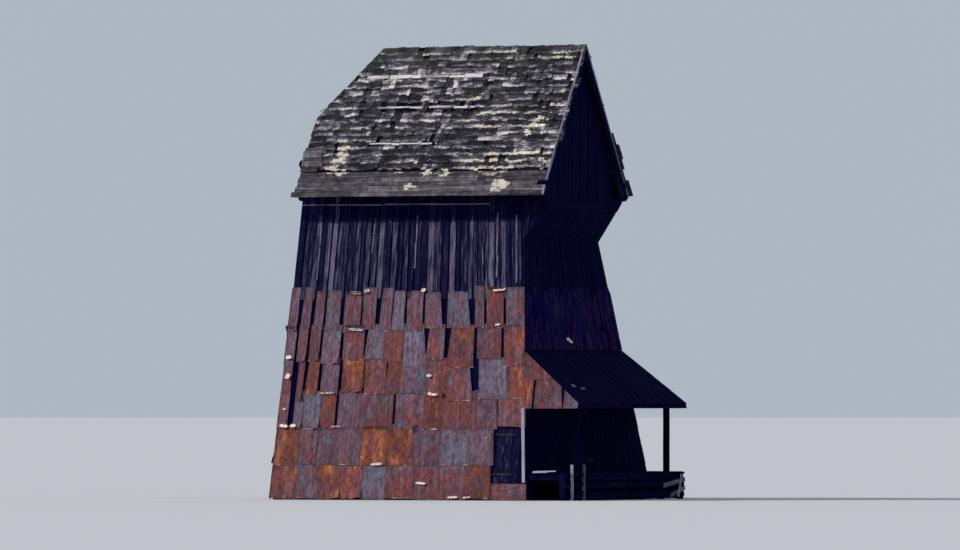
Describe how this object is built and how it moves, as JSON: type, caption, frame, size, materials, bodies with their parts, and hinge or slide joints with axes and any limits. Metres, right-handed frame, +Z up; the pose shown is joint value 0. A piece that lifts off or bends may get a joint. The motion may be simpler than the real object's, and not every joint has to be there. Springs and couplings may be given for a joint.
{
  "type": "disused timber windmill without sails",
  "caption": "Derelict wooden windmill body without sails: leaning boarded walls under rusty sheets, shingled roof with a half-hip, jettied gable, roofed loading deck and low side door.",
  "frame": {"origin": "on the ground, in the middle of the whole footprint", "axes": "+Z up; +X along the ridge towards the loading deck; -Y is the side with the low door"},
  "size_m": [9.13, 7.4524, 12.0222],
  "materials": {
    "boards": "rough",
    "timber": "rough",
    "pale_boards": "rough",
    "shingles": "rough",
    "sheets": "rough",
    "iron": "rough"
  },
  "bodies": {
    "mill": {"back_boards": "boards", "back_gable": "boards", "back_sheets": "sheets", "bargeboard_far": "pale_boards", "bargeboard_near": "pale_boards", "canopy_beam": "timber", "canopy_cheek_far": "sheets", "canopy_cheek_near": "sheets", "canopy_post_far": "timber", "canopy_post_near": "timber", "canopy_roof": "boards", "corner_board": "pale_boards", "corner_post_far_back": "timber", "corner_post_far_porch": "timber", "corner_post_near_back": "timber", "corner_post_near_porch": "timber", "deck_frame": "timber", "deck_planks": "timber", "door_pintle_high": "iron", "door_pintle_low": "iron", "far_boards": "boards", "far_sheets": "sheets", "front_gable": "boards", "ground_floor": "timber", "jetty_cheek_far": "boards", "jetty_cheek_near": "boards", "jetty_soffit": "boards", "ladder": "pale_boards", "near_boards": "boards", "near_boards_beside_door": "boards", "near_boards_over_door": "boards", "near_boards_under_door": "boards", "near_sheets": "sheets", "near_sheets_over_door": "sheets", "near_sheets_under_door": "sheets", "porch_boards": "boards", "porch_door": "boards", "porch_sheets": "sheets", "purlin_end": "timber", "roof_far": "shingles", "roof_half_hip": "shingles", "roof_near": "shingles", "sill_back": "timber", "sill_far": "timber", "sill_near": "timber", "sill_porch": "timber", "wall_plate_far": "timber", "wall_plate_near": "timber"},
    "door": {"side_door": "boards"}
  },
  "joints": [
    {"name": "side_door_hinge", "type": "hinge", "parent": "mill", "child": "door", "pos_m": [2.278, -3.60131, 0.66999], "axis": [0, -0.2161, -0.9764], "range_deg": [0, 100]}
  ]
}
